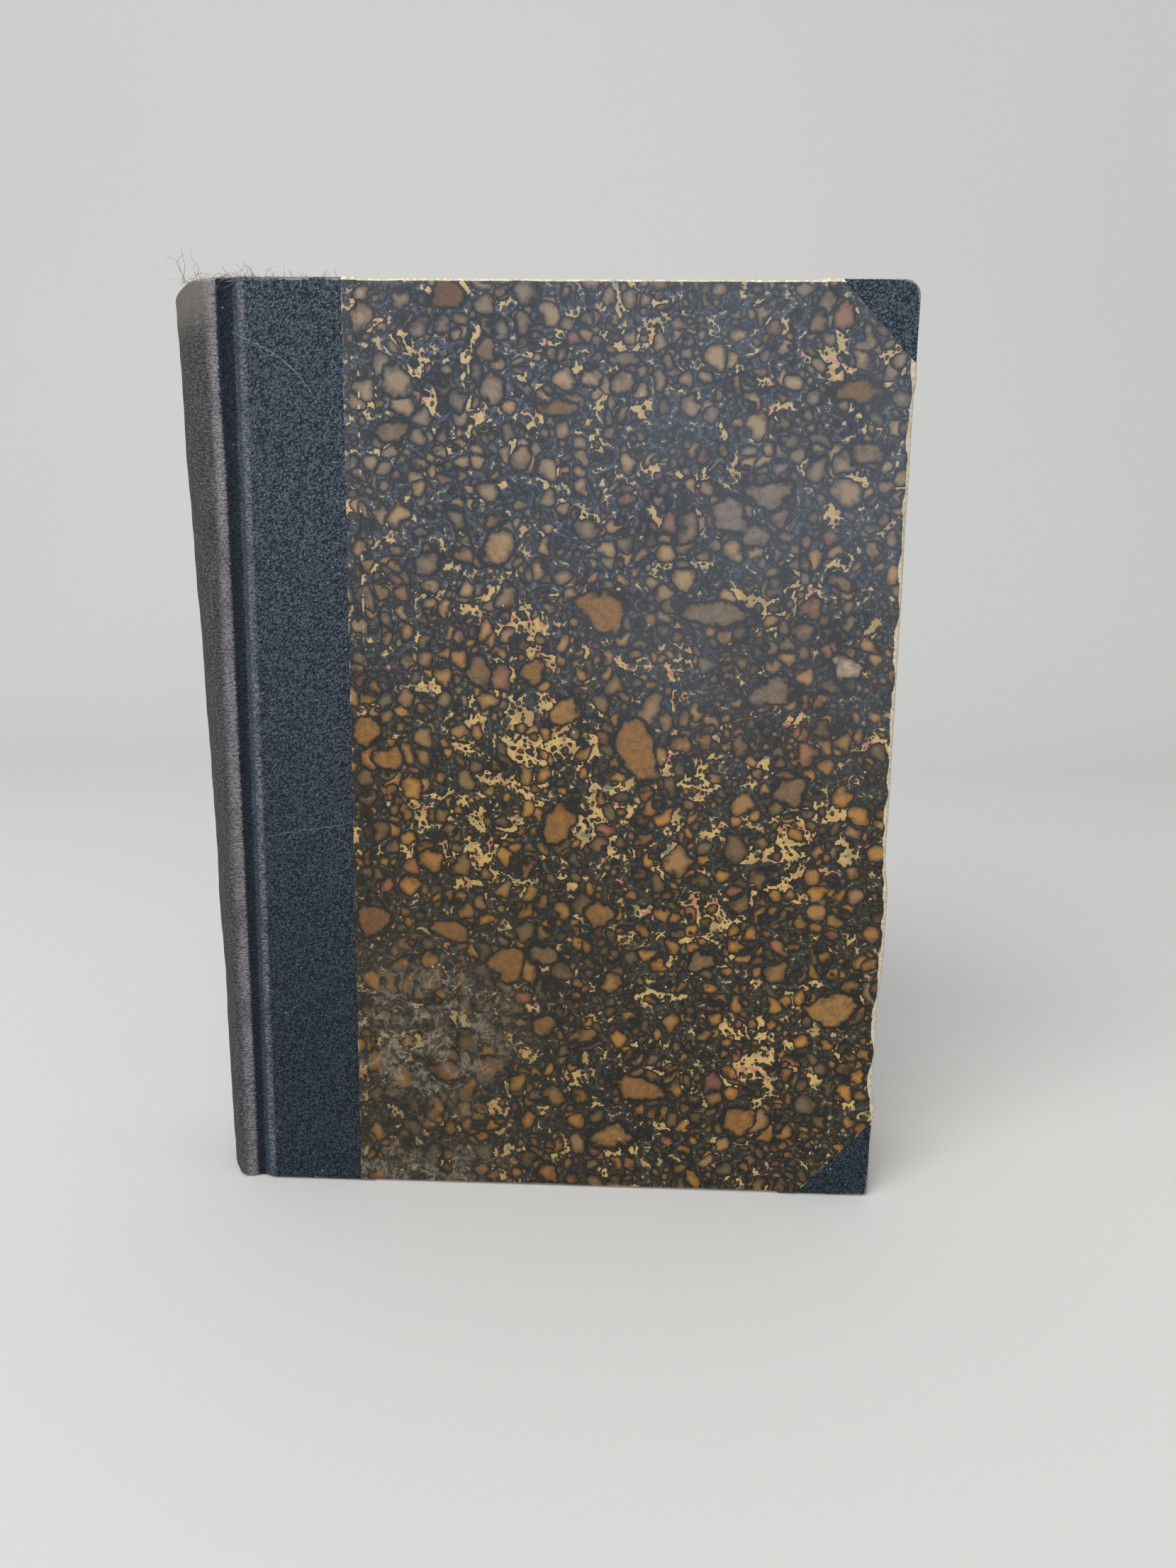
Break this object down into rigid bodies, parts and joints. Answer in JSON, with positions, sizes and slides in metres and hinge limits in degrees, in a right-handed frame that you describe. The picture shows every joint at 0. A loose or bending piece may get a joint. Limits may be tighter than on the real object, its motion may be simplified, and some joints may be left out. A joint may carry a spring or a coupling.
{
  "type": "hardback book",
  "caption": "Half-cloth hardback book with marbled paper sides, cloth corners, a rounded hollow spine and covers hinged at the joints, standing on its tail.",
  "frame": {"origin": "under the middle of the closed book, on the surface that it stands on", "axes": "+Z from the tail to the head, +X from the spine to the fore-edge, -Y out of the front cover"},
  "size_m": [0.1492, 0.036, 0.19],
  "materials": {
    "board": "matt grey-buff pulp board with worn pale edges",
    "book_cloth": "dark navy starched book cloth with a fine pebbled grain, slight sheen",
    "spine_cloth": "the same cloth, faded to grey-brown and showing its weave",
    "marbled_paper": "dark marbled paper, slate blue-black ground with brown spots and ochre veins, lightly glazed",
    "endpaper": "cream laid endpaper, matt",
    "pages": "aged cream paper, matt",
    "mull": "open starched gauze, matt",
    "lining_paper": "brown kraft paper, matt",
    "spine_card": "thin flexible card, matt"
  },
  "bodies": {
    "page_block": {"back_flyleaf": "endpaper", "front_flyleaf": "endpaper", "spine_card": "spine_card", "spine_cloth": "spine_cloth", "spine_lining": "lining_paper", "spine_mull": "mull", "text_block": "pages"},
    "front_cover": {"front_board": "board", "front_head_corner_cloth": "book_cloth", "front_joint_cloth": "book_cloth", "front_marbled_paper": "marbled_paper", "front_mull_flange": "mull", "front_pastedown": "endpaper", "front_tail_corner_cloth": "book_cloth"},
    "back_cover": {"back_board": "board", "back_head_corner_cloth": "book_cloth", "back_joint_cloth": "book_cloth", "back_marbled_paper": "marbled_paper", "back_mull_flange": "mull", "back_pastedown": "endpaper", "back_tail_corner_cloth": "book_cloth"}
  },
  "joints": [
    {"name": "front_hinge", "type": "hinge", "parent": "page_block", "child": "front_cover", "pos_m": [-0.06025, -0.018, 0.095], "axis": [0, 0, -1], "range_deg": [0, 180]},
    {"name": "back_hinge", "type": "hinge", "parent": "page_block", "child": "back_cover", "pos_m": [-0.06025, 0.018, 0.095], "axis": [0, 0, 1], "range_deg": [0, 180]}
  ]
}
